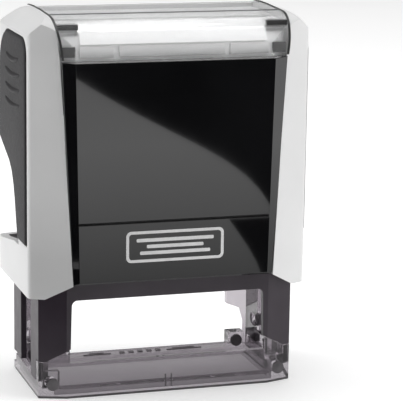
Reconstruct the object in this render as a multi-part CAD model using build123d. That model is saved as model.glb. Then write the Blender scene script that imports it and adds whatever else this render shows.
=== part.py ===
from build123d import *
import os
from math import atan2, cos, pi, sin, tan

# Self-inking hand stamp. Units are millimetres. +Z is up, -Y is the front (the side with the
# glossy panel), and the origin is the middle of the base, on the surface being stamped.
# Everything is drawn with the stamp at rest: cap up, text plate turned up to the ink pad.

os.makedirs("parts", exist_ok=True)

# ---- Driving dimensions -------------------------------------------------------------------
travel = 12.0                 # how far the cap presses down

cap_side_x = 24.6             # half width over the cap's side walls
cap_front_x = 17.4            # where the flat front meets the slanted pillar
cap_shoulder_x = 21.0         # where the top meets the sloping shoulder
cap_front_y = 14.4            # front and rear faces from the middle
cap_crease_y = 10.7           # front pillar crease
cap_rear_crease_y = 11.3      # rear crease above the bay
cap_rear_low_y = 12.7         # rear crease at the skirt's foot
cap_rear_high_y = 13.2        # rear face at the top
cap_bottom_z = 17.95
cap_top_z = 65.7
shoulder_z = 62.4             # top of the side walls
crown_drop = 0.6              # how much lower the top is at its front and rear
cap_wall = 1.5
front_radius = 6.0
rear_radius = 9.0
crease_radius = 1.0           # rounding of the upright edges between sides and pillars
plan_split_z = 36.0           # height inside the bay where the rear crease steps forward

panel_bottom_z = 20.45
panel_top_z = 58.4
panel_bottom_x = 17.67        # panel half width at its foot and at its top
panel_top_x = 19.7
window_top_x = 20.9
window_rear_y = 7.5
window_thick = 1.2
ledge_outer = 1.6             # depth of the shelf under the window, and of its underside
ledge_inner = 3.0
card_half_x = 16.2
shelf_x = 21.5                # half width of the shelf the window sits on
seam = 0.12                   # visible gap between neighbouring mouldings
groove_rise = 10.4            # the panel's fine groove, above its foot
groove_half_x = 15.9
groove_depth = 0.25
groove_height = 0.35
clip_slot_x = 16.3            # slots in the shelf for the window's clip legs
clip_slot_width = 3.8
clip_width = 3.2
clip_rear_y = 10.55           # clip legs, from the middle to their near face
clip_thick = 0.8

neck_y = -3.4                 # rear edge of the side wall beside the open bay
bay_low_z = 25.6              # skirt's top edge beside the neck
bay_rear_low_z = 24.0         # skirt's top edge at the rear
bay_side_z = 42.5             # bay's top edge at the side
bay_rear_z = 45.2             # bay's top edge across the rear

frame_side_x = 22.65
frame_side_y = 9.65
frame_front_x = 18.05
frame_front_y = 11.1
frame_wall = 1.2
side_plate = 1.0
opening_top_z = 17.15
leg_inner_z = 8.5             # leg's lower edge at the opening
leg_outer_z = 6.45            # leg's lower edge at the side
side_plate_top_z = 23.2
corner_wall_x = 0.4           # how far the slanted corners' inner face steps in
corner_wall_y = 0.8
leg_rear_y = 7.9              # back of the front legs
foot_side_z = 3.4             # side tongue's lower edge at its rear
upper_side_x = 20.6           # the frame is narrower above the side plates
upper_side_y = 8.9
upper_wall = 1.1
slot_half_y = 3.85
tongue_bottom_z = 2.75
deck_z = 32.4
deck_thick = 1.4
slot_lead = 0.5               # axle slot's extra height in the frame
arm_gap = 0.2                 # clearance round the yoke's arms
shelf_half_x = 17.0           # shelf the ink cartridge slides on
shelf_z = 26.9

base_floor = 1.4
base_front_z = 6.2
aperture_x = 19.4
aperture_y = 7.6

axle_z = 19.6
axle_radius = 1.5
axle_end_x = 22.2
follower_radius = 0.9
follower_arm = 4.5            # follower pin's distance from the axle
follower_end_x = 21.45
fit_gap = 0.05                # radial clearance of the axle in its bores
slide_gap = 0.1
track_steps = 24              # points along the flipping cam track

carrier_x = 19.0
die_x = 18.8
die_y = 6.5
face_reach = 7.0              # printing face from the axle
arm_inner_x = 19.3
arm_outer_x = 20.3
arm_half_y = 3.2
cam_inner_x = 20.5
cam_outer_x = 21.5

tray_x = 18.9
tray_bottom_z = 27.65
tray_top_z = 31.9
tray_wall = 0.6
tray_front_y = 8.0            # inside of the tray, front and rear
tray_rear_y = 8.4
lip_half_x = 14.0             # finger lip at the tray's rear
lip_rear_y = 13.8
lip_ribs = 9
lip_rib_pitch = 2.8
spring_x = 11.0
spring_radius = 3.15
spring_wire = 0.7
spring_turns = 9
bridge_z = 60.0               # underside of the cap bridge, where the springs push
bridge_half_x = 20.9
cup_outer = 4.6               # cups that hold the springs' ends
cup_inner = 3.8
cup_height = 2.0
post_radius = 2.2             # posts inside the springs
post_height = 11.0
bolt_x = 15.0                 # bosses that join the bridge to the cap's top
bolt_radius = 1.6
bolt_height = 1.3

grip_outer_x = 24.95
grip_inner_x = 23.9
ridge_count = 4
ridge_pitch = 2.6
ridge_top_z = 57.5
ridge_height = 0.4
button_half_x = 3.2
button_half_z = 1.9
button_z = 50.0
pin_x = 20.3                  # dark pins in the foot's front corners
pin_z = 2.5
pin_radius = 1.1
rear_pin_x = 18.7
plate_gap = 2.7               # text plate's depth below the printing face, with its foam
foam_thick = 1.1
line_halves = (14.5, 17.0, 12.0, 16.0)
line_pitch = 2.9


# ---- Helpers ------------------------------------------------------------------------------
def save(shape, name):
    """Write one sub-part under its node name."""
    shape.label = name
    export_step(shape, f"parts/{name}.step")


def block(x0, x1, y0, y1, z0, z1):
    """Axis-aligned box between two corners."""
    centre = ((x0 + x1) / 2, (y0 + y1) / 2, (z0 + z1) / 2)
    return Pos(*centre) * Box(x1 - x0, y1 - y0, z1 - z0)


def both_sides(shape):
    """The shape and its mirror image in the middle plane."""
    return shape + mirror(shape, Plane.YZ)


def side_prism(points, x0, x1):
    """Extrude an outline given as (y, z) points from x0 to x1."""
    face = make_face(Plane.YZ.offset(x0) * Polyline(*points, close=True))
    return extrude(face, amount=x1 - x0, dir=(1, 0, 0))


def front_prism(points, y0, y1):
    """Extrude an outline given as (x, z) points from y0 to y1."""
    face = make_face(Polyline(*[(x, y0, z) for x, z in points], close=True))
    return extrude(face, amount=y1 - y0, dir=(0, 1, 0))


def octagon(side_x, side_y, front_x, front_y, z0, z1):
    """Eight-sided prism: a rectangle with slanted corners."""
    quarter = [(side_x, side_y), (front_x, front_y)]
    corners = list(quarter)
    corners += [(-x, y) for x, y in reversed(quarter)]
    corners += [(-x, -y) for x, y in quarter]
    corners += [(x, -y) for x, y in reversed(quarter)]
    return extrude(make_face(Pos(0, 0, z0) * Polyline(*corners, close=True)), amount=z1 - z0)


def foot_plan(z0, z1):
    """Plan shared by the frame's lower part and the clear foot."""
    return octagon(frame_side_x, frame_side_y, frame_front_x, frame_front_y, z0, z1)


def foot_hollow(z0, z1):
    """Inside of the shared plan."""
    return octagon(frame_side_x - side_plate, frame_side_y - corner_wall_y,
                   frame_front_x - corner_wall_x, frame_front_y - frame_wall, z0, z1)


def leg_slope(start_x, far_z):
    """Outline of the sloping line where a front leg meets the foot, closed at far_z."""
    return [(start_x, far_z), (start_x, leg_inner_z + 0.3), (17.58, leg_inner_z),
            (21.45, leg_outer_z), (25, leg_outer_z), (25, far_z)]


def spring_cups(z):
    """Ring round each spring's end, centred on height z."""
    ring = Cylinder(cup_outer, cup_height) - Cylinder(cup_inner, cup_height)
    return both_sides(Pos(spring_x, 0, z) * ring)


def rod(x0, x1, radius, y, z):
    """Cylinder along X."""
    return Pos((x0 + x1) / 2, y, z) * Rot(0, 90, 0) * Cylinder(radius, x1 - x0)


# ---- Cap envelope -------------------------------------------------------------------------
def rounded_prism(plane, points, radii, length):
    """Extrude an outline drawn on plane, with its corners rounded by radii (0 keeps one sharp)."""
    with BuildSketch(plane) as outline:
        with BuildLine():
            Polyline(*points, close=True)
        make_face()
        for (u, v), radius in zip(points, radii):
            if radius:
                fillet(outline.vertices().sort_by_distance(Vector(u, v))[0], radius)
    return extrude(outline.sketch, amount=length, dir=plane.z_dir)


def cap_plan(crease_rear, inset, z0, z1):
    """Plan of the cap between two heights, with its rear crease at crease_rear."""
    slant = atan2(cap_front_y - cap_crease_y, cap_side_x - cap_front_x)
    front_x = cap_front_x - inset * tan(slant / 2)
    crease = inset * tan((pi / 2 - slant) / 2)
    side_x, front_y = cap_side_x - inset, cap_front_y - inset
    corners = [(-front_x, -front_y), (front_x, -front_y), (side_x, crease - cap_crease_y),
               (side_x, crease_rear - crease), (front_x, front_y), (-front_x, front_y),
               (-side_x, crease_rear - crease), (-side_x, crease - cap_crease_y)]
    rounding = max(crease_radius - inset, 0)
    radii = [0, 0, rounding, rounding, 0, 0, rounding, rounding]
    return rounded_prism(Plane.XY.offset(z0), corners, radii, z1 - z0)


def cap_envelope(inset=0.0, foot_z=cap_bottom_z):
    """Solid inside the cap's outer surface, drawn in by inset."""
    front_y, rear_y = cap_front_y - inset, cap_rear_high_y - inset
    side_x, top_z = cap_side_x - inset, cap_top_z - inset
    shoulder_x = cap_shoulder_x - 0.4 * inset
    plan = cap_plan(cap_rear_low_y, inset, foot_z, plan_split_z)
    plan += cap_plan(cap_rear_crease_y, inset, plan_split_z, cap_top_z + 1)
    profile = rounded_prism(
        Plane.YZ.offset(-30),
        [(-front_y, foot_z - 1), (-front_y, top_z - crown_drop), (0, top_z),
         (rear_y, top_z - crown_drop), (front_y, foot_z - 1)],
        [0, front_radius - inset, 60, rear_radius - inset, 0], 60)
    front = rounded_prism(
        Plane.XZ.offset(-30),
        [(-side_x, foot_z - 1), (-side_x, shoulder_z - 0.6 * inset), (-shoulder_x, top_z),
         (shoulder_x, top_z), (side_x, shoulder_z - 0.6 * inset), (side_x, foot_z - 1)],
        [0, 1.5, 3, 3, 1.5, 0], 60)
    return plan & profile & front


def panel_outline(gap):
    """Front view of the glossy panel's opening, drawn in by gap."""
    low, high = panel_bottom_z + gap, panel_top_z - gap
    return [(-panel_bottom_x + gap, low), (panel_bottom_x - gap, low),
            (panel_top_x - gap, high), (-panel_top_x + gap, high)]


def window_prism(gap, rear_y=window_rear_y):
    """Column over the top front that the clear window lies in, drawn in by gap."""
    low, high = panel_top_z + gap, cap_top_z + 2
    low_x, high_x = panel_top_x - gap, window_top_x - gap
    outline = [(-low_x, low), (low_x, low), (high_x, high), (-high_x, high)]
    return front_prism(outline, -cap_front_y - 1, rear_y - gap)


def bay_prism(x0, x1):
    """The open bay behind the grips, where the ink cartridge slides out, from x0 to x1."""
    neck, corner = (neck_y, bay_low_z), (11.3, bay_side_z)
    with BuildSketch(Plane.YZ.offset(x0)) as outline:
        with BuildLine():
            Spline(neck, (neck_y + 1.75, 33.0), (0.8, 37.9), (5.45, 40.5), corner,
                   tangents=[(0.1, 1), (1, 0.35)])
            Polyline(corner, (11.6, bay_rear_z), (20, bay_rear_z), (20, bay_rear_low_z),
                     (10.2, bay_rear_low_z), (neck_y + 3.2, bay_low_z), neck)
        make_face()
    return extrude(outline.sketch, amount=x1 - x0, dir=(1, 0, 0))


def grip_prism(gap, x0, x1):
    """The side grip's outline, drawn in by gap, from x0 to x1."""
    front, foot, top, rear = -10.05 + gap, 26.6 + gap, 61.8 - gap, 10.2 - gap
    shape = rounded_prism(
        Plane.YZ.offset(x0),
        [(front, foot), (front, top), (rear, top), (rear + 0.75, 42), (rear + 0.75, foot)],
        [0.5, 3.0, 6.8, 0, 0], x1 - x0)
    return shape - Pos(0, -gap, 0) * bay_prism(x0 - 1, x1 + 1)


# ---- Cap ----------------------------------------------------------------------------------
def make_cap_shell():
    """White cap: pillars, shoulders, rear wall and skirt in one moulding."""
    shell = cap_envelope() - cap_envelope(cap_wall, foot_z=cap_bottom_z - 5)
    shell -= front_prism(panel_outline(0), -20, -8)
    foot = [(-22.04, cap_bottom_z - 1), (-22.04, cap_bottom_z), (-panel_bottom_x, panel_bottom_z),
            (panel_bottom_x, panel_bottom_z), (22.04, cap_bottom_z), (22.04, cap_bottom_z - 1)]
    shell -= front_prism(foot, -20, -5)
    shell -= window_prism(0)
    shelf = cap_envelope(cap_wall - 0.1) - cap_envelope(ledge_inner, foot_z=cap_bottom_z - 5)
    shelf &= block(-shelf_x, shelf_x, -20, window_rear_y + 1.5, 56.6, 70)
    shell += shelf - (window_prism(0) - cap_envelope(ledge_outer))
    shell -= bay_prism(-30, 30)
    shell -= both_sides(block(clip_slot_x, clip_slot_x + clip_slot_width, -11.7, -10.2, 58, 66))
    shell -= both_sides(grip_prism(0, grip_inner_x, 26))
    shell -= block(-button_half_x - 0.2, button_half_x + 0.2, 9, 16, button_z - button_half_z - 0.2,
                   button_z + button_half_z + 0.2)
    return shell


def make_front_panel():
    """Glossy black panel, with a fine groove above its lower field."""
    body = cap_envelope() - cap_envelope(cap_wall - 0.1, foot_z=cap_bottom_z - 5)
    body &= front_prism(panel_outline(seam), -20, -8)
    groove_z = panel_bottom_z + groove_rise
    body -= block(-groove_half_x, groove_half_x, -cap_front_y - 1, -cap_front_y + groove_depth,
                  groove_z, groove_z + groove_height)
    return body


def make_window():
    """Clear cover over the top front edge, with a lug and a clip leg at each end."""
    cover = cap_envelope() - cap_envelope(window_thick, foot_z=cap_bottom_z - 5)
    cover &= window_prism(seam)
    cover += both_sides(block(clip_slot_x + 0.3, clip_slot_x + 0.3 + clip_width,
                              -clip_rear_y - clip_thick, -clip_rear_y, 60.6, 63.6))
    return cover


def make_card():
    """Paper index card under the window, bent over the same edge."""
    sheet = cap_envelope(window_thick + 0.08) - cap_envelope(window_thick + 0.33, foot_z=0)
    low, high, rear = panel_top_z + 0.5, cap_top_z + 2, window_rear_y - 1
    outline = [(-card_half_x, low), (card_half_x, low), (card_half_x, high), (-card_half_x, high)]
    return sheet & front_prism(outline, -20, rear)


def make_grip(side):
    """Soft side grip with four raised finger ridges."""
    pad = grip_prism(seam, grip_inner_x + 0.03, grip_outer_x)
    rim = pad.faces().sort_by(Axis.X)[-1].edges()
    pad = chamfer(rim, 0.2)
    for i in range(ridge_count):
        middle_z = ridge_top_z - ridge_pitch * i
        pad += block(grip_outer_x - 0.1, grip_outer_x + 0.1, -5.4, 4.4,
                     middle_z - ridge_height / 2, middle_z + ridge_height / 2)
    return pad if side > 0 else mirror(pad, Plane.YZ)


def make_bridge():
    """Yoke clipped under the cap's top: two arms carry the axle, two cups hold the springs."""
    plate = block(-bridge_half_x, bridge_half_x, -5.5, 5.5, bridge_z, bridge_z + 1.2)
    plate += spring_cups(bridge_z - cup_height / 2)
    plate += both_sides(Pos(bolt_x, 0, bridge_z + 1.8) * Cylinder(bolt_radius, bolt_height))
    for inner in (arm_inner_x, -arm_outer_x):
        plate += block(inner, inner + 1, -arm_half_y, arm_half_y, axle_z, bridge_z)
        plate += rod(inner, inner + 1, arm_half_y - 0.2, 0, axle_z)
        plate -= rod(inner - 1, inner + 2, axle_radius + fit_gap, 0, axle_z)
    return plate


def make_lock_button():
    """Push button in the rear wall that holds the cap part-way down for an ink change."""
    wide, tall = button_half_x, button_half_z
    button = block(-wide, wide, 11.4, 14.0, button_z - tall, button_z + tall)
    button = fillet(button.edges().filter_by(Axis.Y), 0.8)
    button += block(-wide - 1, wide + 1, 10.4, 11.4, button_z - tall - 1, button_z + tall + 1)
    for i in range(3):
        z = button_z - 1.1 + 1.1 * i
        button -= block(-wide + 0.8, wide - 0.8, 13.8, 14.2, z - 0.2, z + 0.2)
    return button


# ---- Frame --------------------------------------------------------------------------------
def arm_slots(outer_x, z0, z1):
    """Space for the yoke's two arms, out to outer_x."""
    half_y = arm_half_y + arm_gap
    return both_sides(block(arm_inner_x - arm_gap, outer_x, -half_y, half_y, z0, z1))


def make_frame():
    """Dark lower frame: front bar, legs, slotted side plates and the cartridge bay."""
    outer = foot_plan(2, side_plate_top_z)
    inner = foot_hollow(1, side_plate_top_z + 1)
    shoulder = foot_plan(side_plate_top_z - frame_wall, side_plate_top_z)
    upper = octagon(upper_side_x, upper_side_y, frame_front_x - corner_wall_x, frame_front_y,
                    side_plate_top_z - 0.5, deck_z)
    upper_inner = octagon(upper_side_x - upper_wall, upper_side_y - 0.7, frame_front_x - 0.8,
                          frame_front_y - frame_wall, 1, deck_z + 1)
    body = (outer - inner) + shoulder + upper - upper_inner
    # front and rear openings between the legs
    body -= rounded_prism(Plane.XZ, [(-17.5, 0), (-17.1, opening_top_z), (17.1, opening_top_z),
                                     (17.5, 0)], [0, 1.0, 1.0, 0], 15)
    body -= block(-21.65, 21.65, 0, 15, 0, opening_top_z)
    # lower ends of the front legs slope, and the side plates reach down as tongues
    body -= both_sides(front_prism(leg_slope(17, 0), -15, -leg_rear_y))
    tongue_foot = [(-8, 0), (-8, tongue_bottom_z), (-5, 2.6), (0, 3.0), (8, foot_side_z), (12, 3.1),
                   (12, 0)]
    body -= side_prism(tongue_foot, -25, 25)
    # axle slots in the side plates
    slot_top = axle_z + axle_radius + slot_lead
    body -= side_prism([(-slot_half_y, 0), (-slot_half_y, slot_top), (slot_half_y, slot_top),
                        (slot_half_y, 0)], -25, 25)
    # guide slots for the yoke's arms in the upper side walls
    body -= arm_slots(25, side_plate_top_z, deck_z + 1)
    body -= arm_slots(arm_outer_x + arm_gap, side_plate_top_z - 2, deck_z + 1)
    # cartridge bay: rear mouth, and a shelf along the front wall
    body -= block(-tray_x - 0.2, tray_x + 0.2, 5, 15, tray_bottom_z - slide_gap, deck_z + 1)
    body += block(-shelf_half_x, shelf_half_x, -10.2, -9.0, shelf_z, tray_bottom_z - slide_gap)
    return body


def make_deck():
    """Snap-in plate that closes the frame and seats the two springs on posts."""
    top = deck_z + deck_thick
    plate = octagon(upper_side_x, upper_side_y, frame_front_x - corner_wall_x, frame_front_y, deck_z,
                    top)
    plate += spring_cups(top + cup_height / 2)
    plate += both_sides(Pos(spring_x, 0, top + post_height / 2) * Cylinder(post_radius, post_height))
    return plate - arm_slots(25, deck_z - 1, top + 1)


def make_base():
    """Clear foot: a floor ring, a front wall, corner walls and two rear uprights."""
    base = foot_plan(0, leg_inner_z) - foot_hollow(base_floor, leg_inner_z + 1)
    base -= block(-aperture_x, aperture_x, -aperture_y, aperture_y, -1, 3)
    base -= block(-17.5, 17.5, -15, -5, base_front_z, 12)
    # low rear edge, and walls that stop under the frame's legs and side tongues
    base -= block(-25, 25, 8.0, 15, base_floor, 12)
    base -= both_sides(Pos(0, 0, -seam) * front_prism(leg_slope(17.4, 12), -15, -7))
    rear_y = -leg_rear_y - seam
    side_top = [(rear_y, 12), (rear_y, tongue_bottom_z - seam), (-5, 2.6 - seam),
                (0, 3.0 - seam), (9, 3.2 - seam), (9, 12)]
    base -= both_sides(side_prism(side_top, 20, 25))
    # rear uprights
    upright = [(17.35, 9.1), (17.35, 17.0), (21.55, 17.0), (21.55, 0.5), (20.6, 0.5), (20.6, 5.6),
               (19.9, 8.1)]
    base += both_sides(front_prism(upright, 9.9, 11.0) & foot_plan(0, 20))
    # corner blocks with a bore for each pin
    bore = Rot(90, 0, 0) * Cylinder(pin_radius, 4.2)
    for x in (-pin_x, pin_x):
        base += block(x - 1.7, x + 1.4, -9.95, -8.3, 1.0, 4.6)
        base -= Pos(x, -9.0, pin_z) * bore
    for x in (-rear_pin_x, rear_pin_x):
        base += block(x - 1.5, x + 1.5, 8.0, 10.4, 1.0, 4.0)
        base -= Pos(x, 9.2, pin_z) * Rot(90, 0, 0) * Cylinder(pin_radius, 2.6)
    # locating lip on the front wall with a notch at its middle
    lip = block(-12.4, 12.2, -frame_front_y - 0.25, -frame_front_y + 0.1, 0.9, 2.0)
    base += lip - block(-0.35, 0.35, -12, -11, 0, 3)
    return base


def make_cam_plate(side):
    """Clear plate beside the carrier, with the axle's slot and the flipping cam track."""
    plate = block(cam_inner_x, cam_outer_x, -8.1, 8.0, base_floor, 21.9)
    low = axle_z - travel - axle_radius - 0.3
    high = axle_z + axle_radius + 0.3
    half = axle_radius + slide_gap
    plate -= block(cam_inner_x - 1, cam_outer_x + 1, -half, half, low, high)
    path = []
    for i in range(track_steps + 1):
        share = i / track_steps
        turn = pi * share
        path.append((-follower_arm * cos(turn), axle_z - travel * share - follower_arm * sin(turn)))
    with BuildSketch(Plane.YZ.offset(cam_inner_x - 1)) as track:
        with BuildLine():
            Spline(*path)
        trace(line_width=2 * (follower_radius + slide_gap))
        with Locations(path[0], path[-1]):
            Circle(follower_radius + slide_gap)
    plate -= extrude(track.sketch, amount=3, dir=(1, 0, 0))
    return plate if side > 0 else mirror(plate, Plane.YZ)


def make_pins():
    """Dark pins that plug the bores in the clear foot's four corners."""
    front = Rot(90, 0, 0) * Cylinder(pin_radius - 0.02, 2.4)
    rear = Rot(90, 0, 0) * Cylinder(pin_radius - 0.02, 2.9)
    pins = [Pos(x, -9.5, pin_z) * front for x in (-pin_x, pin_x)]
    return pins + [Pos(x, 9.1, pin_z) * rear for x in (-rear_pin_x, rear_pin_x)]


# ---- Ink cartridge ------------------------------------------------------------------------
def make_tray():
    """Ink cartridge: a shallow tray, open downward, with a finger lip at the rear."""
    tray = octagon(tray_x, 7.9, tray_x - 2.4, 9.7, tray_bottom_z, tray_top_z)
    tray += block(-tray_x, tray_x, 0, 11.5, tray_bottom_z, tray_top_z)
    lip = block(-lip_half_x, lip_half_x, 11.4, lip_rear_y, tray_bottom_z, tray_top_z)
    tray += fillet(lip.edges().filter_by(Axis.Z).sort_by(Axis.Y)[-2:], 1.5)
    tray -= block(-tray_x + tray_wall, tray_x - tray_wall, -tray_front_y, tray_rear_y,
                  tray_bottom_z - 1, tray_top_z - 1)
    for i in range(lip_ribs):
        x = (i - (lip_ribs - 1) / 2) * lip_rib_pitch
        tray -= block(x - 0.4, x + 0.4, lip_rear_y - 0.4, 14, tray_bottom_z + 0.7, tray_top_z - 0.7)
    return tray


def make_pad():
    """Felt pad soaked with ink, facing down in its tray."""
    half_x = tray_x - tray_wall - 0.02
    return block(-half_x, half_x, -tray_front_y + 0.05, tray_rear_y - 0.05, tray_bottom_z + 0.1,
                 tray_top_z - 1.02)


# ---- Text plate carrier -------------------------------------------------------------------
def make_carrier():
    """Hollow block that turns on the axle and carries the text plate on one face."""
    top = axle_z + face_reach - plate_gap
    body = block(-carrier_x, carrier_x, -6.2, 6.2, axle_z - 3.2, top)
    body -= block(-carrier_x + 1.5, carrier_x - 1.5, -4.9, 4.9, axle_z - 4, top - 1.4)
    for x in (-9.0, 0.0, 9.0):
        body += block(x - 0.5, x + 0.5, -5, 5, axle_z - 3.0, top - 1)
    body -= rod(-20, 20, axle_radius, 0, axle_z)
    for x0 in (carrier_x - 1.5, -carrier_x):
        body -= rod(x0, x0 + 1.5, follower_radius, -follower_arm, axle_z)
    return body


def make_axle():
    """Steel axle through the carrier, the cap's arms and the frame's slots."""
    axle = rod(-axle_end_x, axle_end_x, axle_radius, 0, axle_z)
    return chamfer(axle.edges(), 0.3)


def make_followers():
    """Steel cam pins, one in each end of the carrier."""
    start = carrier_x - 1.5
    return [rod(start, follower_end_x, follower_radius, -follower_arm, axle_z),
            rod(-follower_end_x, -start, follower_radius, -follower_arm, axle_z)]


def make_foam():
    """Cushion foam that lets the text plate press evenly."""
    low = axle_z + face_reach - plate_gap
    return block(-die_x, die_x, -die_y, die_y, low, low + foam_thick)


def make_text_plate():
    """Rubber text plate, with plain raised bars for its lines of print."""
    low = axle_z + face_reach - plate_gap + foam_thick
    plate = block(-die_x, die_x, -die_y, die_y, low, low + 1.1)
    for i, half in enumerate(line_halves):
        y = 4.4 - line_pitch * i
        plate += block(-half, half, y - 0.5, y + 0.5, low + 1.0, axle_z + face_reach)
    return plate


# ---- Springs ------------------------------------------------------------------------------
def make_spring(x):
    """Compression spring between the deck and the cap bridge, with a closed ring at each end."""
    low = deck_z + deck_thick + spring_wire / 2
    high = bridge_z - spring_wire / 2
    centre = Helix((high - low) / spring_turns, high - low, spring_radius)
    section = Plane(origin=centre @ 0, z_dir=centre % 0) * Circle(spring_wire / 2)
    coil = sweep(section, path=centre, is_frenet=True)
    return Pos(x, 0, low) * coil


save(make_cap_shell(), "cap_shell")
save(make_front_panel(), "front_panel")
save(make_window(), "index_window")
save(make_card(), "index_card")
save(make_bridge(), "cap_bridge")
save(make_lock_button(), "lock_button")
save(make_frame(), "lower_frame")
save(make_deck(), "spring_deck")
save(make_base(), "clear_base")
save(Compound(make_pins()), "base_pins")
save(make_tray(), "ink_cartridge")
save(make_pad(), "ink_pad")
save(make_carrier(), "plate_carrier")
save(make_axle(), "carrier_axle")
save(Compound(make_followers()), "cam_pins")
save(make_foam(), "cushion_foam")
save(make_text_plate(), "text_plate")
for side, word in ((-1, "left"), (1, "right")):
    save(make_grip(side), f"grip_{word}")
    save(make_cam_plate(side), f"cam_plate_{word}")
    save(make_spring(side * spring_x), f"return_spring_{word}")
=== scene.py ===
from math import cos, pi, radians, sin

import bmesh
import bpy
from mathutils import Matrix, Vector


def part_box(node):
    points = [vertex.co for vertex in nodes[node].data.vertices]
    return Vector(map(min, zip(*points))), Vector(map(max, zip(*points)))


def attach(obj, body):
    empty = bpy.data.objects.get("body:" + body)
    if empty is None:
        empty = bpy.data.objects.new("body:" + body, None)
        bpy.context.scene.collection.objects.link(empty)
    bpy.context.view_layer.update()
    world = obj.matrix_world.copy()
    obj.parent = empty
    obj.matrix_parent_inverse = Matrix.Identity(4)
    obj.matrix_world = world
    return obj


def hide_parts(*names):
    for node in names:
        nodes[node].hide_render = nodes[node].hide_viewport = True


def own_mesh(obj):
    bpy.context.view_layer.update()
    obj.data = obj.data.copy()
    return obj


# Self-inking hand stamp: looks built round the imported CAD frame. Lengths are millimetres in the row
# frame (+Z up, -Y front) and MM turns them into Blender's metres. Lights and camera are in metres.
MM = 0.001
SIDES = ((-1, "left"), (1, "right"))

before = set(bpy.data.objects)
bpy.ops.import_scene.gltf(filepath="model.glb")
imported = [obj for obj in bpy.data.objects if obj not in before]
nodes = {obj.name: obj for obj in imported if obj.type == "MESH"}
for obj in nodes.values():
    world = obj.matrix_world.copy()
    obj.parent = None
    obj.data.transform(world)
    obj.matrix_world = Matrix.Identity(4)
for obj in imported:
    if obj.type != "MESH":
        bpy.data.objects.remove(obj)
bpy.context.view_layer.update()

# ---- Driving dimensions --------------------------------------------------------------------
panel_low, panel_high = [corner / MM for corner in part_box("front_panel")]
spring_low, spring_high = [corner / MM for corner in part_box("return_spring_right")]

front_y = -14.4               # the cap's flat front
bend_radius = 6.0             # bend from the front to the top
bend_y = front_y + bend_radius
bend_z = 59.35
crown_slope = 0.6 / 14.4      # the top falls 0.6 from its middle to the front
top_z = 65.7
panel_top_x = 19.58           # panel half width at its top and its foot
panel_foot_x = 17.55
window_foot_x = 19.58         # clear window's half width at its foot
window_foot_z = 58.4
window_flare = 0.129          # how fast the window widens with height
grip_face_x = 24.95
strip_head_z = 60.6           # top of the frosted strip and of the lugs beside it
rail_foot_z = 1.4             # underside of the marks on the foot's rear rail
weld_distance = 0.002


# ---- Mesh helpers -------------------------------------------------------------------------
def bridge(bm, a, b):
    """Close the band between two rings with the same number of points."""
    count = len(a)
    for i in range(count):
        j = (i + 1) % count
        bm.faces.new((a[i], a[j], b[j], b[i]))


def finish_mesh(name, bm, body, material, smooth_angle=35):
    """Turn a bmesh drawn in millimetres into a shaded object that rides on a body."""
    bmesh.ops.recalc_face_normals(bm, faces=bm.faces)
    bmesh.ops.scale(bm, vec=(MM, MM, MM), verts=bm.verts)
    mesh = bpy.data.meshes.new(name)
    bm.to_mesh(mesh)
    bm.free()
    obj = bpy.data.objects.new(name, mesh)
    bpy.context.scene.collection.objects.link(obj)
    obj.data.materials.append(material)
    mesh.shade_smooth()
    mesh.set_sharp_from_angle(angle=radians(smooth_angle))
    if body:
        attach(obj, body)
    return obj


def add_bevel(obj, width, angle=30):
    """Round an object's edges by width millimetres."""
    bevel = obj.modifiers.new("round edges", "BEVEL")
    bevel.width = width * MM
    bevel.segments = 3
    bevel.limit_method = "ANGLE"
    bevel.angle_limit = radians(angle)
    bevel.harden_normals = True
    bevel.use_clamp_overlap = True
    return obj


def dress_node(name, material, bevel_width=0.0):
    """Give a carried-over CAD node its material and softly rounded edges."""
    obj = nodes[name]
    obj.data.materials.clear()
    obj.data.materials.append(material)
    if bevel_width:
        weld = obj.modifiers.new("weld", "WELD")
        weld.merge_threshold = weld_distance * MM
        add_bevel(obj, bevel_width)


def rounded_outline(points, radii, steps=8):
    """Closed 2-D outline with each corner replaced by an arc of its radius."""
    result = []
    count = len(points)
    for i, (point, radius) in enumerate(zip(points, radii)):
        here = Vector(point)
        before = (Vector(points[i - 1]) - here).normalized()
        after = (Vector(points[(i + 1) % count]) - here).normalized()
        if radius <= 0:
            result.append(tuple(here))
            continue
        half = before.angle(after) / 2
        reach = radius / abs(sin(half)) * cos(half)
        centre = here + (before + after).normalized() * (radius / sin(half))
        start = here + before * reach - centre
        end = here + after * reach - centre
        turn = start.angle_signed(end)
        for k in range(steps + 1):
            spin = Matrix.Rotation(-turn * k / steps, 2)
            result.append(tuple(centre + spin @ start))
    return result


def curve(start, pull_start, pull_end, end, steps=40):
    """Points on the cubic curve from start to end that heads for each pull point in turn."""
    points = [Vector(point) for point in (start, pull_start, pull_end, end)]
    result = []
    for k in range(steps + 1):
        t = k / steps
        shares = ((1 - t) ** 3, 3 * (1 - t) ** 2 * t, 3 * (1 - t) * t * t, t ** 3)
        result.append(tuple(sum((p * w for p, w in zip(points, shares)), Vector((0, 0)))))
    return result


def prism(bm, outline, place, depth):
    """Extrude a closed outline: place(u, v, t) gives the point, and t runs from 0 to depth."""
    low = [bm.verts.new(place(u, v, 0)) for u, v in outline]
    high = [bm.verts.new(place(u, v, depth)) for u, v in outline]
    bm.faces.new(low)
    bm.faces.new(list(reversed(high)))
    count = len(outline)
    for i in range(count):
        j = (i + 1) % count
        bm.faces.new((low[i], high[i], high[j], low[j]))


def slab(bm, x0, x1, y0, y1, z0, z1):
    """Box between two corners."""
    outline = [(x0, z0), (x1, z0), (x1, z1), (x0, z1)]
    prism(bm, outline, lambda u, v, t: (u, y0 + t, v), y1 - y0)


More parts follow.
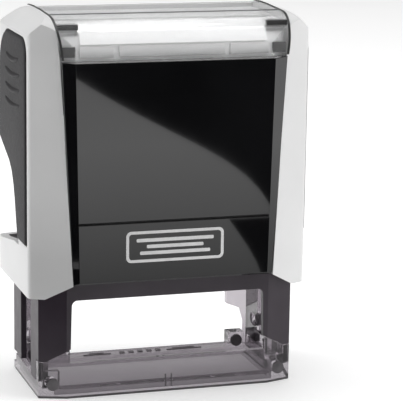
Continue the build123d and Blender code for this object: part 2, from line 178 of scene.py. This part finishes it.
def tube(bm, path, radius, sides):
    """Round tube along a list of points, closed at both ends."""
    rings = []
    count = len(path)
    for i, point in enumerate(path):
        ahead = Vector(path[min(i + 1, count - 1)]) - Vector(path[max(i - 1, 0)])
        axis = ahead.normalized()
        side = axis.cross(Vector((0, 0, 1)))
        side = side.normalized() if side.length > 1e-6 else Vector((1, 0, 0))
        up = side.cross(axis)
        ring = []
        for k in range(sides):
            a = 2 * pi * k / sides
            ring.append(bm.verts.new(Vector(point) + (side * cos(a) + up * sin(a)) * radius))
        rings.append(ring)
    for a, b in zip(rings, rings[1:]):
        bridge(bm, a, b)
    bm.faces.new(list(reversed(rings[0])))
    bm.faces.new(rings[-1])


# ---- Material helpers ---------------------------------------------------------------------
class Shader:
    """A node material with small builders for grain, tint and roughness variation."""

    def __init__(self, name, base, roughness, **inputs):
        self.material = bpy.data.materials.new(name)
        self.material.use_nodes = True
        self.tree = self.material.node_tree
        self.surface = self.tree.nodes["Principled BSDF"]
        self.surface.inputs["Base Color"].default_value = (*base, 1)
        self.surface.inputs["Roughness"].default_value = roughness
        for key, value in inputs.items():
            self.surface.inputs[key.replace("_", " ")].default_value = value
        self.coords = self.tree.nodes.new("ShaderNodeTexCoord")

    def link(self, a, b):
        self.tree.links.new(a, b)

    def noise(self, size_mm, detail=3.0):
        """Noise whose features are about size_mm across."""
        node = self.tree.nodes.new("ShaderNodeTexNoise")
        node.inputs["Scale"].default_value = 1 / (size_mm * MM)
        node.inputs["Detail"].default_value = detail
        self.link(self.coords.outputs["Object"], node.inputs["Vector"])
        return node.outputs["Fac"]

    def cells(self, size_mm):
        """Voronoi distance whose cells are about size_mm across."""
        node = self.tree.nodes.new("ShaderNodeTexVoronoi")
        node.inputs["Scale"].default_value = 1 / (size_mm * MM)
        self.link(self.coords.outputs["Object"], node.inputs["Vector"])
        return node.outputs["Distance"]

    def ramp(self, source, low, high, start=0.3, end=0.7):
        """Colour ramp between two colours."""
        node = self.tree.nodes.new("ShaderNodeValToRGB")
        node.color_ramp.elements[0].position = start
        node.color_ramp.elements[1].position = end
        node.color_ramp.elements[0].color = (*low, 1)
        node.color_ramp.elements[1].color = (*high, 1)
        self.link(source, node.inputs["Fac"])
        return node.outputs["Color"]

    def spread(self, source, low, high):
        """Map a 0..1 source to low..high."""
        node = self.tree.nodes.new("ShaderNodeMapRange")
        node.inputs["To Min"].default_value = low
        node.inputs["To Max"].default_value = high
        self.link(source, node.inputs["Value"])
        return node.outputs["Result"]

    def tint(self, low, high, size_mm, start=0.3, end=0.7):
        colour = self.ramp(self.noise(size_mm), low, high, start, end)
        self.link(colour, self.surface.inputs["Base Color"])
        return self

    def gloss(self, low, high, size_mm):
        self.link(self.spread(self.noise(size_mm, 4.0), low, high), self.surface.inputs["Roughness"])
        return self

    def bump(self, source, depth_mm, strength=1.0):
        node = self.tree.nodes.new("ShaderNodeBump")
        node.inputs["Distance"].default_value = depth_mm * MM
        node.inputs["Strength"].default_value = strength
        self.link(source, node.inputs["Height"])
        self.link(node.outputs["Normal"], self.surface.inputs["Normal"])
        return self

    def height(self, z0, z1):
        """Share of the way up from z0 to z1 (millimetres)."""
        split = self.tree.nodes.new("ShaderNodeSeparateXYZ")
        self.link(self.coords.outputs["Object"], split.inputs["Vector"])
        node = self.tree.nodes.new("ShaderNodeMapRange")
        node.inputs["From Min"].default_value = z0 * MM
        node.inputs["From Max"].default_value = z1 * MM
        self.link(split.outputs["Z"], node.inputs["Value"])
        return node.outputs["Result"]

    def height_fade(self, low, high, z0, z1):
        """Base colour from low at z0 to high at z1."""
        colour = self.ramp(self.height(z0, z1), low, high, 0, 1)
        self.link(colour, self.surface.inputs["Base Color"])
        return self

    def height_input(self, key, low, high, z0, z1):
        """Any single-value input, from low at z0 to high at z1."""
        self.link(self.spread(self.height(z0, z1), low, high), self.surface.inputs[key])
        return self


def grey(value):
    return (value, value, value)


# ---- Materials ----------------------------------------------------------------------------
def white_plastic():
    """Satin white moulding with a faint spark-eroded grain."""
    s = Shader("white_plastic", grey(0.84), 0.42, Specular_IOR_Level=0.45)
    s.tint((0.80, 0.80, 0.80), (0.85, 0.85, 0.85), 14)
    s.gloss(0.36, 0.48, 6)
    return s.bump(s.noise(0.25), 0.012, 0.5).material


def piano_black():
    """Polished black with a hint of orange peel, which mirrors more towards its head."""
    s = Shader("piano_black", grey(0.006), 0.04, Coat_Roughness=0.02)
    dull_z, glossy_z = 20, 44
    s.height_input("Specular IOR Level", 0.3, 0.68, dull_z, glossy_z)
    s.height_input("Coat Weight", 0.25, 0.7, dull_z, glossy_z)
    s.tint((0.004, 0.004, 0.0045), (0.008, 0.008, 0.009), 20)
    s.gloss(0.03, 0.09, 9)
    return s.bump(s.noise(2.2), 0.002, 0.35).material


def clear_plastic():
    """Clear moulded styrene with very light waviness."""
    s = Shader("clear_plastic", (0.97, 0.975, 0.98), 0.02, Transmission_Weight=1.0, IOR=1.46,
               Alpha=0.35)
    s.gloss(0.01, 0.05, 5)
    return s.bump(s.noise(3.0), 0.004, 0.4).material


def smoke_plastic():
    """Smoke-tinted clear moulding, darker towards its foot, where painted shade stands in for the
    shadowed floor seen through it.
    """
    s = Shader("smoke_plastic", (0.5, 0.47, 0.5), 0.05, Transmission_Weight=1.0, IOR=1.4)
    painted_shade_top_z = 7
    s.height_fade((0.24, 0.215, 0.24), (0.50, 0.47, 0.50), 0, painted_shade_top_z)
    s.gloss(0.03, 0.09, 4)
    return s.bump(s.noise(1.6), 0.006, 0.4).material


def smoke_edge(name, tone):
    """Edges of the smoke-tinted moulding, where it is thick and looks dark."""
    s = Shader(name, grey(tone), 0.25)
    s.tint((tone * 0.7, tone * 0.64, tone * 0.7), (tone * 1.4, tone * 1.28, tone * 1.4), 2)
    return s.bump(s.noise(0.4), 0.01, 0.4).material


def frame_plastic():
    """Dark warm-grey satin moulding with a fine erosion texture."""
    s = Shader("frame_plastic", (0.028, 0.022, 0.029), 0.4, Specular_IOR_Level=0.45)
    s.tint((0.026, 0.018, 0.027), (0.036, 0.026, 0.037), 5)
    s.gloss(0.32, 0.48, 3)
    return s.bump(s.noise(0.18, 5.0), 0.02, 0.7).material


def grip_rubber():
    """Soft-touch dark grey grip with a fine matt grain."""
    s = Shader("grip_rubber", grey(0.03), 0.62, Specular_IOR_Level=0.3)
    s.tint((0.022, 0.021, 0.023), (0.030, 0.028, 0.031), 0.6)
    s.gloss(0.54, 0.68, 0.8)
    return s.bump(s.cells(0.32), 0.05, 0.8).material


def inner_plastic():
    """Mid grey working parts inside the stamp."""
    s = Shader("inner_plastic", grey(0.12), 0.5)
    s.tint(grey(0.10), grey(0.14), 4)
    s.gloss(0.42, 0.58, 2.5)
    return s.bump(s.noise(0.3), 0.02, 0.5).material


def cartridge_plastic():
    """Ink cartridge moulding, slightly darker and shinier than the other inner parts."""
    s = Shader("cartridge_plastic", (0.05, 0.05, 0.055), 0.35)
    s.tint((0.042, 0.042, 0.047), (0.062, 0.062, 0.068), 6)
    s.gloss(0.28, 0.42, 3)
    return s.bump(s.noise(0.35), 0.02, 0.5).material


def card_paper_painted_glow():
    """Uncoated white card with a soft fibre texture, and a faint glow that paints extra light on it.
    """
    # Emission Strength paints a faint glow on the card: painted light, not a lamp.
    s = Shader("card_paper_painted_glow", grey(0.88), 0.85, Emission_Strength=0.14)
    s.surface.inputs["Emission Color"].default_value = (1, 1, 1, 1)
    s.tint(grey(0.86), grey(0.93), 0.7)
    return s.bump(s.noise(0.12, 6.0), 0.02, 0.5).material


def frosted_strip():
    """Frosted lower strip of the index holder: pale at its top, grey at its foot."""
    s = Shader("frosted_strip", grey(0.6), 0.35)
    grey_z, pale_z = 58.5, 60.8
    s.height_fade(grey(0.42), grey(0.90), grey_z, pale_z)
    s.gloss(0.3, 0.42, 2)
    return s.bump(s.noise(0.3), 0.01, 0.5).material


def top_plate_painted_shade():
    """Top plate that shows light grey through the clear cover; the grey is painted shade under the
    cover's top.
    """
    s = Shader("top_plate_painted_shade", grey(0.7), 0.4)
    s.tint(grey(0.74), grey(0.84), 8)
    s.gloss(0.3, 0.45, 3)
    return s.bump(s.noise(0.3), 0.01, 0.5).material


def dark_line_and_painted_shadow():
    """Near-black edge line; the same material paints the shadow in the fold gap and the shade in the
    clip recesses.
    """
    s = Shader("dark_line_and_painted_shadow", grey(0.03), 0.35)
    s.tint(grey(0.02), grey(0.045), 3)
    return s.bump(s.noise(0.4), 0.01, 0.4).material


def print_white():
    """Pad-printed white ink."""
    s = Shader("print_white", grey(0.8), 0.5)
    s.tint(grey(0.76), grey(0.84), 1.5)
    return s.bump(s.noise(0.15), 0.004, 0.4).material


def spring_wire():
    """Zinc-plated spring wire with drawing marks."""
    s = Shader("spring_wire", grey(0.55), 0.3, Metallic=1.0)
    s.tint(grey(0.48), grey(0.62), 0.8)
    s.gloss(0.22, 0.4, 0.4)
    return s.bump(s.noise(0.1), 0.004, 0.5).material


def ground_steel():
    """Ground steel pin stock."""
    s = Shader("ground_steel", grey(0.6), 0.22, Metallic=1.0)
    s.tint(grey(0.52), grey(0.66), 1.5)
    s.gloss(0.16, 0.32, 0.5)
    return s.bump(s.noise(0.12), 0.003, 0.5).material


def ink_felt():
    """Felt soaked with blue-black ink."""
    s = Shader("ink_felt", (0.01, 0.02, 0.1), 0.75, Sheen_Weight=0.4)
    s.tint((0.006, 0.012, 0.06), (0.014, 0.03, 0.14), 1.4)
    return s.bump(s.noise(0.22, 8.0), 0.12, 0.9).material


def foam():
    """Closed-cell cushion foam."""
    s = Shader("foam", (0.6, 0.56, 0.45), 0.9)
    s.tint((0.5, 0.46, 0.36), (0.66, 0.62, 0.5), 0.8)
    return s.bump(s.cells(0.35), 0.12, 0.9).material


def die_rubber():
    """Engraved text plate rubber, stained by ink."""
    s = Shader("die_rubber", (0.2, 0.06, 0.045), 0.6)
    s.tint((0.06, 0.03, 0.05), (0.26, 0.075, 0.055), 2.5, 0.35, 0.6)
    s.gloss(0.45, 0.7, 1)
    return s.bump(s.noise(0.2), 0.03, 0.6).material


white = white_plastic()
black = piano_black()
clear = clear_plastic()
smoke = smoke_plastic()
dark = frame_plastic()
rubber = grip_rubber()
inner = inner_plastic()
# line also paints shadow: the fold gap and the clip recesses
line = dark_line_and_painted_shadow()
steel = ground_steel()
spring_steel = spring_wire()

# ---- CAD nodes that keep their shape -------------------------------------------------------
dress_node("cap_shell", white, 0.3)
dress_node("lower_frame", dark, 0.15)
dress_node("spring_deck", dark, 0.15)
dress_node("clear_base", smoke, 0.15)
for _, side_word in SIDES:
    dress_node(f"cam_plate_{side_word}", smoke, 0.08)
dress_node("base_pins", smoke_edge("pin_grey", 0.075), 0.1)
dress_node("cap_bridge", inner, 0.12)
dress_node("lock_button", inner, 0.15)
dress_node("plate_carrier", inner, 0.15)
dress_node("ink_cartridge", cartridge_plastic(), 0.15)
dress_node("ink_pad", ink_felt(), 0.1)
dress_node("carrier_axle", steel)
dress_node("cam_pins", steel)
dress_node("cushion_foam", foam(), 0.1)
dress_node("text_plate", die_rubber(), 0.06)
dress_node("index_window", clear, 0.1)


# ---- Glossy panel -------------------------------------------------------------------------
def panel_half(z, inset=0.0):
    """Panel half width at height z."""
    share = (z - panel_low.z) / (panel_high.z - panel_low.z)
    return panel_foot_x + share * (panel_top_x - panel_foot_x) - inset


def make_panel():
    """Panel with a sloping border, a flat face and a fine groove above its lower field."""
    foot_border, border_growth = 0.9, 1.3   # the border is wider at the head by border_growth
    groove_z, groove_depth = 31.0, 0.25
    groove_mouth, groove_floor = 0.2, 0.08  # half widths of the groove
    back_y, rim_y = -13.05, front_y + 0.38
    foot, head = panel_low.z, panel_high.z
    face_foot, face_head = foot + 0.35, head - 0.3
    bm = bmesh.new()

    def ring(y):
        corners = [(-panel_half(foot), foot), (panel_half(foot), foot),
                   (panel_half(head), head), (-panel_half(head), head)]
        return [bm.verts.new((x, y, z)) for x, z in corners]

    back = ring(back_y)
    rim = ring(rim_y)
    bridge(bm, back, rim)
    bm.faces.new(back)
    # rows of points up the face: foot, groove's lower lip, bottom and upper lip, head
    floor_y = front_y + groove_depth
    rows = [(face_foot, front_y), (groove_z - groove_mouth, front_y),
            (groove_z - groove_floor, floor_y), (groove_z + groove_floor, floor_y),
            (groove_z + groove_mouth, front_y), (face_head, front_y)]
    edge = []
    for z, y in rows:
        half = panel_half(z, foot_border + border_growth * (z - foot) / (head - foot))
        edge.append((bm.verts.new((-half, y, z)), bm.verts.new((half, y, z))))
    for (a, b), (c, d) in zip(edge, edge[1:]):
        bm.faces.new((a, b, d, c))
    left_side = [pair[0] for pair in edge]
    right_side = [pair[1] for pair in edge]
    bm.faces.new([rim[0], *left_side, rim[3]])
    bm.faces.new([rim[1], rim[2], *reversed(right_side)])
    bm.faces.new((rim[0], rim[1], right_side[0], left_side[0]))
    bm.faces.new((rim[3], left_side[-1], right_side[-1], rim[2]))
    crease_angle = 12
    panel = finish_mesh("glossy_panel", bm, "cap", black, crease_angle)
    add_bevel(panel, 0.12, angle=crease_angle)
    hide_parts("front_panel")


def make_mark():
    """Generic printed pictogram: the outline of an imprint with three lines in it."""
    half_x, foot_z, head_z, line_width = 8.6, 24.0, 29.4, 0.5
    bar_height, bar_pitch, top_bar_z = 0.6, 1.1, 27.5
    ink_y, ink_depth = front_y - 0.02, 0.03
    bm = bmesh.new()

    def rounded_box(half, z0, z1, radius, steps=8):
        corners = [(-half, z0), (half, z0), (half, z1), (-half, z1)]
        return rounded_outline(corners, [radius] * 4, steps)

    outer = rounded_box(half_x, foot_z, head_z, 0.9)
    inner_edge = rounded_box(half_x - line_width, foot_z + line_width, head_z - line_width, 0.5)
    bridge(bm, [bm.verts.new((u, ink_y, v)) for u, v in outer],
           [bm.verts.new((u, ink_y, v)) for u, v in inner_edge])
    for i, bar_half in enumerate((6.8, 5.0, 6.2)):
        z = top_bar_z - bar_pitch * i
        outline = rounded_box(bar_half, z, z + bar_height, 0.2, 4)
        prism(bm, outline, lambda u, v, t: (u, ink_y + t, v), ink_depth)
    mark = finish_mesh("panel_mark", bm, "cap", print_white())


# ---- Grips --------------------------------------------------------------------------------
def grip_outline(inset):
    """Side grip's outline as (y, z), with the curved lower rear edge beside the bay."""
    front, foot, top, rear = -10.05 + inset, 26.6 + inset, 61.8 - inset, 10.2 - inset
    corners = [(front, foot), (front, top), (rear, top), (rear + 0.7, 42.8 - inset * 0.3)]
    radii = [0.6, 3.0, 6.8, 0.4]
    curve = []
    # the bay's edge swings from nearly level at the rear to nearly upright at the neck
    knots = [(8.2, 41.3), (5.4, 40.2), (2.9, 39.2), (0.9, 37.7), (-0.5, 35.6), (-1.5, 33.0),
             (-2.4, 29.8), (-3.3, 26.6 + inset)]
    for y, z in knots:
        curve.append((y - inset, z + inset * 0.3))
    points = corners + curve
    return rounded_outline(points, radii + [0.0] * len(curve), 10)


def make_grip(side, word):
    """Grip pad: crowned face, rounded rim and four crescent finger ridges."""
    bm = bmesh.new()
    # each ring's inset from the outline, and its depth below the face
    rim = ((0.16, 1.0), (0.16, 0.5), (0.2, 0.2), (0.34, 0.06), (0.62, 0))
    rings = []
    for inset, depth in rim:
        x = side * (grip_face_x - depth)
        rings.append([bm.verts.new((x, y, z)) for y, z in grip_outline(inset)])
    for a, b in zip(rings, rings[1:]):
        bridge(bm, a, b)
    bm.faces.new(rings[0])
    bm.faces.new(rings[-1])
    grip = finish_mesh(f"grip_pad_{word}", bm, "cap", rubber, 40)
    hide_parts(f"grip_{word}")

    ridge_mesh = bmesh.new()
    top_ridge_z, ridge_pitch = 57.5, 2.6
    for i, half in enumerate((4.9, 5.7, 5.7, 5.7)):
        add_ridge(ridge_mesh, side, top_ridge_z - ridge_pitch * i, half)
    ridges = finish_mesh(f"grip_ridges_{word}", ridge_mesh, "cap", rubber, 60)


def add_ridge(bm, side, centre_z, half):
    """One crescent ridge that swells in the middle and fades at its ends."""
    columns, rows = 20, 6
    centre_y, half_width, height, sunk = -0.5, 0.55, 0.42, 0.03
    sag, lift = 0.7, 0.35                   # how far the middle hangs, and where the ends sit
    grid = []
    for i in range(columns + 1):
        s = -1 + 2 * i / columns
        swell = (1 - s * s) ** 0.5
        column = []
        for j in range(rows + 1):
            t = -1 + 2 * j / rows
            dome = (1 - t * t) * swell
            y = centre_y + s * half
            z = centre_z + t * half_width * swell - sag * (1 - s * s) + lift
            x = grip_face_x - sunk + height * dome
            column.append(bm.verts.new((side * x, y, z)))
        grid.append(column)
    for a, b in zip(grid, grid[1:]):
        for j in range(rows):
            bm.faces.new((a[j], a[j + 1], b[j + 1], b[j]))


# ---- Index window details -----------------------------------------------------------------
def surface_profile(inset, start_y, end_z):
    """(y, z) points just under the cap's top and bend, from start_y forward and down to end_z."""
    top_steps, bend_steps = 4, 14
    points = []
    for k in range(top_steps):
        y = start_y + (bend_y - start_y) * k / top_steps
        points.append((y, top_z - abs(y) * crown_slope - inset))
    radius = bend_radius - inset
    for k in range(bend_steps + 1):
        angle = pi / 2 + (pi / 2) * k / bend_steps
        z = bend_z + radius * sin(angle)
        if z >= end_z:
            points.append((bend_y + radius * cos(angle), z))
    if end_z < bend_z:
        points.append((front_y + inset, end_z))
    return points


def window_half(z):
    """Half width of the clear window at height z."""
    return window_foot_x + (z - window_foot_z) * window_flare


def ribbon(name, profile, x_left, x_right, thickness, body, material):
    """Strip that follows a profile, between two x positions given as functions of height."""
    bm = bmesh.new()
    rows = []
    for i, (y, z) in enumerate(profile):
        before = profile[max(i - 1, 0)]
        after = profile[min(i + 1, len(profile) - 1)]
        along = Vector((after[0] - before[0], after[1] - before[1])).normalized()
        normal = Vector((along.y, -along.x))
        inward = normal if normal.y < 0 or normal.x > 0 else -normal
        back_y, back_z = y + inward.x * thickness, z + inward.y * thickness
        rows.append([bm.verts.new((x_left(z), y, z)), bm.verts.new((x_right(z), y, z)),
                     bm.verts.new((x_right(z), back_y, back_z)),
                     bm.verts.new((x_left(z), back_y, back_z))])
    for a, b in zip(rows, rows[1:]):
        bridge(bm, a, b)
    bm.faces.new(list(reversed(rows[0])))
    bm.faces.new(rows[-1])
    piece = finish_mesh(name, bm, body, material)
    return piece


def level_strip(name, profile, half, thickness, material):
    """Ribbon of one width across the middle of the window."""
    return ribbon(name, profile, lambda z: -half, lambda z: half, thickness, "window", material)


def make_card_and_plate():
    """Index card with a faint painted glow, the plate behind it painted grey as the shade under the
    cover's top, and a dark strip of painted shadow in the gap where the cover folds.
    """
    under = 1.3                             # how far the card and plate lie below the surface
    card = level_strip("index_sheet", surface_profile(under, -8.0, 60.7), 16.2, 0.22,
                       card_paper_painted_glow())
    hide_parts("index_card")
    level_strip("window_top_plate", surface_profile(under, 6.4, 65.1), 19.8, 0.2,
                top_plate_painted_shade())
    # dark strip of painted shadow in the gap where the cover folds
    fold_shadow = [(y, top_z - abs(y) * crown_slope + 0.01) for y in (-7.2, -7.75)]
    level_strip("window_fold_shadow", fold_shadow, 20.2, 0.1, line)


def make_clips(side, word):
    """Dark slab of painted shade in the recess behind the window's upper corner, and the lug at its
    lower corner.
    """
    shadow = bmesh.new()
    slab(shadow, *sorted((side * 16.4, side * 20.0)), -12.1, -11.3, 63.2, 64.1)
    finish_mesh(f"clip_shadow_{word}", shadow, "cap", line)
    lug = bmesh.new()
    lug_front_y, lug_back_y = front_y + 1.25, front_y + 1.6
    slab(lug, *sorted((side * 17.1, side * 19.5)), lug_front_y, lug_back_y, 58.9, strip_head_z)
    lug_piece = finish_mesh(f"clip_lug_{word}", lug, "window", inner)
    add_bevel(lug_piece, 0.1)


def make_edge_line(side, word):
    """Dark line down one side edge of the clear window."""
    inside, proud = 0.32, 0.06
    ribbon(f"window_edge_{word}", surface_profile(-0.015, 7.3, 58.6),
           lambda z: side * (window_half(z) - inside), lambda z: side * (window_half(z) + proud),
           0.15, "window", line)


def make_holder_strips():
    """Frosted strip below the card, in three lengths with gaps between them."""
    strip = frosted_strip()
    strip_front_y, strip_back_y = front_y + 1.3, front_y + 1.5
    for i, (x0, x1) in enumerate(((-16.4, -10.6), (-9.6, 8.7), (9.6, 16.4))):
        bm = bmesh.new()
        slab(bm, x0, x1, strip_front_y, strip_back_y, 58.75, strip_head_z)
        finish_mesh(f"holder_strip_{i + 1}", bm, "window", strip)


make_panel()
make_mark()
for side, side_word in SIDES:
    make_grip(side, side_word)
make_card_and_plate()
for side, side_word in SIDES:
    make_clips(side, side_word)
for side, side_word in SIDES:
    make_edge_line(side, side_word)
make_holder_strips()


# ---- Marks on the clear foot ---------------------------------------------------------------
def make_rail_marks():
    """Moulded dashes on the foot's rear rail: a double dash each side and five ticks between."""
    bm = bmesh.new()
    dash_head_z, tick_head_z, step_in = 1.62, 1.65, 1.2
    for x0, x1 in ((-10.2, -5.1), (5.5, 12.1)):
        slab(bm, x0, x1, 8.3, 8.5, rail_foot_z, dash_head_z)
        slab(bm, x0 + step_in, x1 - step_in, 8.9, 9.1, rail_foot_z, dash_head_z)
    first_tick_x, tick_pitch, tick_width = -3.4, 1.7, 0.9
    for i in range(5):
        x = first_tick_x + tick_pitch * i
        slab(bm, x, x + tick_width, 8.2, 9.1, rail_foot_z, tick_head_z)
    finish_mesh("rail_marks", bm, "frame", smoke_edge("mark_grey", 0.26))


def make_lip_lines():
    """Fine dark line along the foot's front lip, with two upright ticks at its centre."""
    lip = bmesh.new()
    lip_front_y, tick_width = -11.36, 0.18
    for x0, x1 in ((-12.3, -9.4), (-8.6, -0.8), (0.8, 7.6), (8.4, 12.1)):
        slab(lip, x0, x1, lip_front_y, -11.2, 1.9, 2.06)
    for x in (-0.62, 0.46):
        slab(lip, x, x + tick_width, lip_front_y, -11.1, 0.9, 3.1)
    finish_mesh("lip_lines", lip, "frame", smoke_edge("lip_grey", 0.09))


def make_foot_edge():
    """Dark lower edge of the clear foot, round its front and sides."""
    edge = bmesh.new()
    edge_height = 0.34
    rear_y = 8.6
    outer = [(-22.66, rear_y), (-22.66, -9.66), (-18.06, -11.12), (18.06, -11.12),
             (22.66, -9.66), (22.66, rear_y)]
    inner_edge = [(-22.4, rear_y), (-22.4, -9.46), (-18.0, -10.86), (18.0, -10.86),
                  (22.4, -9.46), (22.4, rear_y)]
    prism(edge, outer + list(reversed(inner_edge)), lambda u, v, t: (u, v, t), edge_height)
    finish_mesh("foot_edge", edge, "frame", smoke_edge("edge_grey", 0.07))


make_rail_marks()
make_lip_lines()
make_foot_edge()


# ---- Return springs -----------------------------------------------------------------------
def make_spring(word, centre_x):
    """Compression spring with closed end coils."""
    mean_radius, wire_radius, turns, steps = 3.15, 0.35, 9, 26
    end_turns, end_rise = 0.8, 0.06         # each end's nearly flat coil, and both ends' rise
    low, high = spring_low.z + wire_radius, spring_high.z - wire_radius
    path = []
    for k in range(turns * steps + 1):
        share = k / (turns * steps)
        eased = min(max((share * turns - end_turns) / (turns - 2 * end_turns), 0), 1)
        rise = end_rise * share + (1 - end_rise) * eased
        angle = 2 * pi * turns * share
        path.append((centre_x + mean_radius * cos(angle), mean_radius * sin(angle),
                     low + (high - low) * rise))
    bm = bmesh.new()
    tube(bm, path, wire_radius, 10)
    spring = finish_mesh(f"spring_coil_{word}", bm, "frame", spring_steel, 60)
    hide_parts(f"return_spring_{word}")
    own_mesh(spring)


spring_x = (spring_low.x + spring_high.x) / 2
for side, side_word in SIDES:
    make_spring(side_word, side * spring_x)

# ---- Stage, light and camera --------------------------------------------------------------
scene = bpy.context.scene
scene.view_settings.view_transform = "Standard"


def make_floor():
    """Pale floor with a little light of its own, which stays near white round the stamp."""
    s = Shader("pale_floor", grey(0.9), 0.9)
    s.tint(grey(0.88), grey(0.92), 300)
    s.surface.inputs["Emission Color"].default_value = (1, 1, 1, 1)
    s.surface.inputs["Emission Strength"].default_value = 0.35
    bm = bmesh.new()
    half = 3000
    corners = ((-half, -half), (half, -half), (half, half), (-half, half))
    bm.faces.new([bm.verts.new((x, y, 0)) for x, y in corners])
    floor = finish_mesh("floor", bm, None, s.material)


def make_world():
    """White surround: full white to the eye, softer as a light."""
    world = bpy.data.worlds.new("studio")
    scene.world = world
    world.use_nodes = True
    tree = world.node_tree
    background = tree.nodes["Background"]
    background.inputs["Color"].default_value = (1, 1, 1, 1)
    rays = tree.nodes.new("ShaderNodeLightPath")
    seen = tree.nodes.new("ShaderNodeMath")
    seen.operation = "MAXIMUM"
    tree.links.new(rays.outputs["Is Camera Ray"], seen.inputs[0])
    tree.links.new(rays.outputs["Is Transmission Ray"], seen.inputs[1])
    strength = tree.nodes.new("ShaderNodeMapRange")
    strength.inputs["To Min"].default_value = 0.28
    strength.inputs["To Max"].default_value = 1.0
    tree.links.new(seen.outputs[0], strength.inputs["Value"])
    tree.links.new(strength.outputs["Result"], background.inputs["Strength"])


def area_light(name, place, target, size, watts):
    """Soft box at place (metres) aimed at target."""
    data = bpy.data.lights.new(name, "AREA")
    data.shape = "SQUARE"
    data.size = size
    data.energy = watts
    lamp = bpy.data.objects.new(name, data)
    scene.collection.objects.link(lamp)
    lamp.location = place
    lamp.rotation_mode = "QUATERNION"
    lamp.rotation_quaternion = (Vector(target) - Vector(place)).to_track_quat("-Z", "Y")


def make_camera():
    """Camera at the photograph's angle: slightly left of the front and above."""
    azimuth, pitch, roll = radians(17.63), radians(12.0), radians(0.83)
    place = Vector((-0.0957, -0.3298, 0.1045))
    forward = Vector((sin(azimuth) * cos(pitch), cos(azimuth) * cos(pitch), -sin(pitch)))
    right = Vector((cos(azimuth), -sin(azimuth), 0))
    up = right.cross(forward)
    right_rolled = right * cos(roll) + up * sin(roll)
    up_rolled = up * cos(roll) - right * sin(roll)
    data = bpy.data.cameras.new("camera")
    data.lens = 178.9
    data.sensor_width = 36
    data.clip_start = 0.01
    camera = bpy.data.objects.new("camera", data)
    scene.collection.objects.link(camera)
    axes = Matrix((right_rolled, up_rolled, -forward)).transposed()
    camera.matrix_world = Matrix.Translation(place) @ axes.to_4x4()
    scene.camera = camera


def make_flag(name, corners, blocks_light):
    """Black card seen in reflections; blocks_light also lets it shade the stamp."""
    s = Shader(name, grey(0.003), 1.0, Specular_IOR_Level=0.0)
    s.tint(grey(0.002), grey(0.004), 200)
    bm = bmesh.new()
    bm.faces.new([bm.verts.new(corner) for corner in corners])
    card = finish_mesh(name, bm, None, s.material)
    card.visible_camera = False
    card.visible_transmission = False
    card.visible_shadow = False
    card.visible_diffuse = blocks_light


def upright_card(start, end, height):
    """Corners of a card that stands on the floor between two (x, y) points."""
    return [(*start, 0), (*end, 0), (*end, height), (*start, height)]


def make_flags():
    """Two cards reflected in the glossy panel, and two that shade the left leg and pillar."""
    far_y, near_y, leg_z, pillar_z = -100, -60, 18, 66
    far = curve((-8, 50.8), (24.5, 26.3), (41.5, 27.5), (49, 10)) + [(85, 10), (85, 85), (-8, 85)]
    make_flag("panel_flag", [(x, far_y, z) for x, z in far], False)
    near = curve((24.7, 20), (28.6, 14.7), (32.2, 9.5), (31.9, 6)) + [(50, 6), (50, 20)]
    make_flag("corner_flag", [(x, near_y, z) for x, z in near], False)
    make_flag("leg_flag", upright_card((-60, -26), (-15, -36), leg_z), True)
    make_flag("pillar_flag", upright_card((-129, -58), (-12, -118), pillar_z), True)


make_floor()
make_flags()
make_world()
middle = (0, 0, 0.035)
area_light("left_box", (-0.75, 0.25, 0.35), middle, 0.5, 2.4)
area_light("right_box", (0.70, -0.35, 0.40), middle, 0.5, 2.6)
area_light("top_box", (0.0, 0.10, 0.8), middle, 0.6, 3.0)
make_camera()
